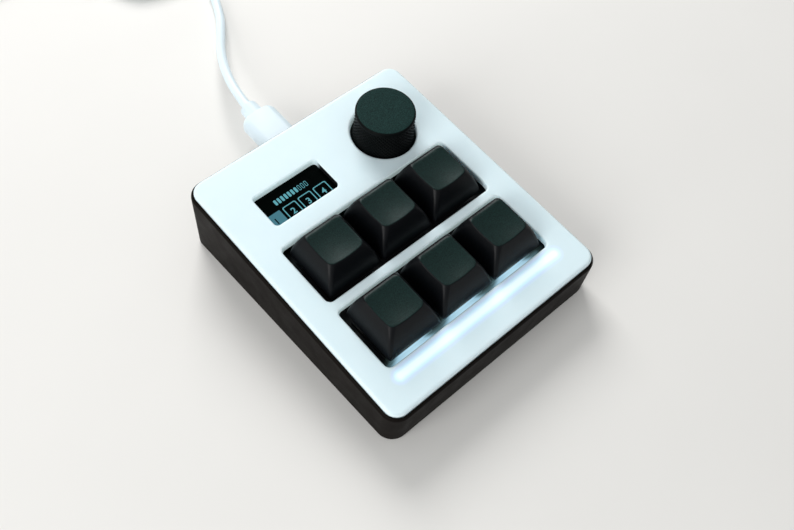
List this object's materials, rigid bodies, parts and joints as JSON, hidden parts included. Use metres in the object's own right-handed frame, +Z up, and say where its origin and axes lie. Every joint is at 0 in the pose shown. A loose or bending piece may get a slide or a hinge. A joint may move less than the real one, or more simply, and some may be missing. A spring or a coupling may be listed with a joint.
{
  "type": "macro keypad with knob",
  "caption": "Wedge-shaped macro keypad: a white deck with two rows of sculpted key switches, a knurled push-and-turn knob, a small display, a light bar and a detachable USB lead.",
  "frame": {"origin": "on the table, at the centre of the case's footprint", "axes": "+Z up, +X to the right of the deck, +Y towards the rear, where the lead leaves; the deck itself is tilted 6 degrees about X, up to the rear"},
  "size_m": [0.0848, 0.2463, 0.034],
  "materials": {
    "case_black": "fine moulded texture",
    "plate_white": "satin, slightly translucent",
    "circuit_board": "solder mask",
    "keycap_black": "fine grain on the top, smooth sides",
    "stem_red": "smooth",
    "spring_steel": "drawn wire",
    "switch_black": "moulded",
    "contact_copper": "stamped",
    "steel": "satin",
    "rotor_white": "moulded",
    "knob_black": "grained top, knurled side",
    "display_glass": "dark glass with small lit marks",
    "lamp_glow": "lit lamp",
    "bar_glow": "lit diffuser",
    "brass": "knurled",
    "foot_rubber": "matt",
    "cable_white": "soft satin jacket",
    "tie_black": "woven"
  },
  "bodies": {
    "case": {"bottom_case": "case_black", "top_cover": "plate_white", "switch_plate": "case_black", "main_board": "circuit_board", "key_spring_1": "spring_steel", "key_spring_2": "spring_steel", "key_spring_3": "spring_steel", "key_spring_4": "spring_steel", "key_spring_5": "spring_steel", "key_spring_6": "spring_steel", "switch_housing_1": "switch_black", "switch_housing_2": "switch_black", "switch_housing_3": "switch_black", "switch_housing_4": "switch_black", "switch_housing_5": "switch_black", "switch_housing_6": "switch_black", "switch_cover_1": "switch_black", "switch_cover_2": "switch_black", "switch_cover_3": "switch_black", "switch_cover_4": "switch_black", "switch_cover_5": "switch_black", "switch_cover_6": "switch_black", "switch_contacts": "contact_copper", "encoder_base": "switch_black", "encoder_bracket": "steel", "display_glass": "display_glass", "display_board": "circuit_board", "display_screws": "steel", "controller_board": "circuit_board", "pin_headers": "switch_black", "usb_socket": "steel", "light_strip": "rotor_white", "strip_lamps": "lamp_glow", "light_bar": "bar_glow", "threaded_inserts": "brass", "case_screws": "steel", "rubber_feet": "foot_rubber"},
    "key_1": {"keycap_1": "keycap_black", "key_stem_1": "stem_red"},
    "key_2": {"keycap_2": "keycap_black", "key_stem_2": "stem_red"},
    "key_3": {"keycap_3": "keycap_black", "key_stem_3": "stem_red"},
    "key_4": {"keycap_4": "keycap_black", "key_stem_4": "stem_red"},
    "key_5": {"keycap_5": "keycap_black", "key_stem_5": "stem_red"},
    "key_6": {"keycap_6": "keycap_black", "key_stem_6": "stem_red"},
    "encoder_rotor": {"encoder_rotor": "rotor_white"},
    "knob": {"encoder_shaft": "steel", "knob": "knob_black"},
    "usb_lead": {"plug_shell": "steel", "plug_grip": "cable_white", "usb_cable": "cable_white", "cable_coil": "cable_white", "cable_end": "cable_white", "cable_tie": "tie_black", "far_plug_grip": "cable_white", "far_plug_shell": "steel"}
  },
  "joints": [
    {"name": "key_1_press", "type": "slide", "parent": "case", "child": "key_1", "axis": [0, 0.1045, -0.9945], "range_m": [0, 0.004], "stiffness_N_per_m": 75, "springref_m": -0.0039, "deforming": ["key_spring_1"]},
    {"name": "key_2_press", "type": "slide", "parent": "case", "child": "key_2", "axis": [0, 0.1045, -0.9945], "range_m": [0, 0.004], "stiffness_N_per_m": 75, "springref_m": -0.0039, "deforming": ["key_spring_2"]},
    {"name": "key_3_press", "type": "slide", "parent": "case", "child": "key_3", "axis": [0, 0.1045, -0.9945], "range_m": [0, 0.004], "stiffness_N_per_m": 75, "springref_m": -0.0039, "deforming": ["key_spring_3"]},
    {"name": "key_4_press", "type": "slide", "parent": "case", "child": "key_4", "axis": [0, 0.1045, -0.9945], "range_m": [0, 0.004], "stiffness_N_per_m": 75, "springref_m": -0.0039, "deforming": ["key_spring_4"]},
    {"name": "key_5_press", "type": "slide", "parent": "case", "child": "key_5", "axis": [0, 0.1045, -0.9945], "range_m": [0, 0.004], "stiffness_N_per_m": 75, "springref_m": -0.0039, "deforming": ["key_spring_5"]},
    {"name": "key_6_press", "type": "slide", "parent": "case", "child": "key_6", "axis": [0, 0.1045, -0.9945], "range_m": [0, 0.004], "stiffness_N_per_m": 75, "springref_m": -0.0039, "deforming": ["key_spring_6"]},
    {"name": "knob_turn", "type": "hinge", "parent": "case", "child": "encoder_rotor", "pos_m": [0.01905, 0.02445, 0.02386], "axis": [0, -0.1045, 0.9945], "continuous": true},
    {"name": "knob_push", "type": "slide", "parent": "encoder_rotor", "child": "knob", "axis": [0, 0.1045, -0.9945], "range_m": [0, 0.0005], "stiffness_N_per_m": 4000, "springref_m": -0.0005},
    {"name": "plug_pull", "type": "slide", "parent": "case", "child": "usb_lead", "axis": [0, 0.9945, 0.1045], "range_m": [0, 0.0065]}
  ]
}
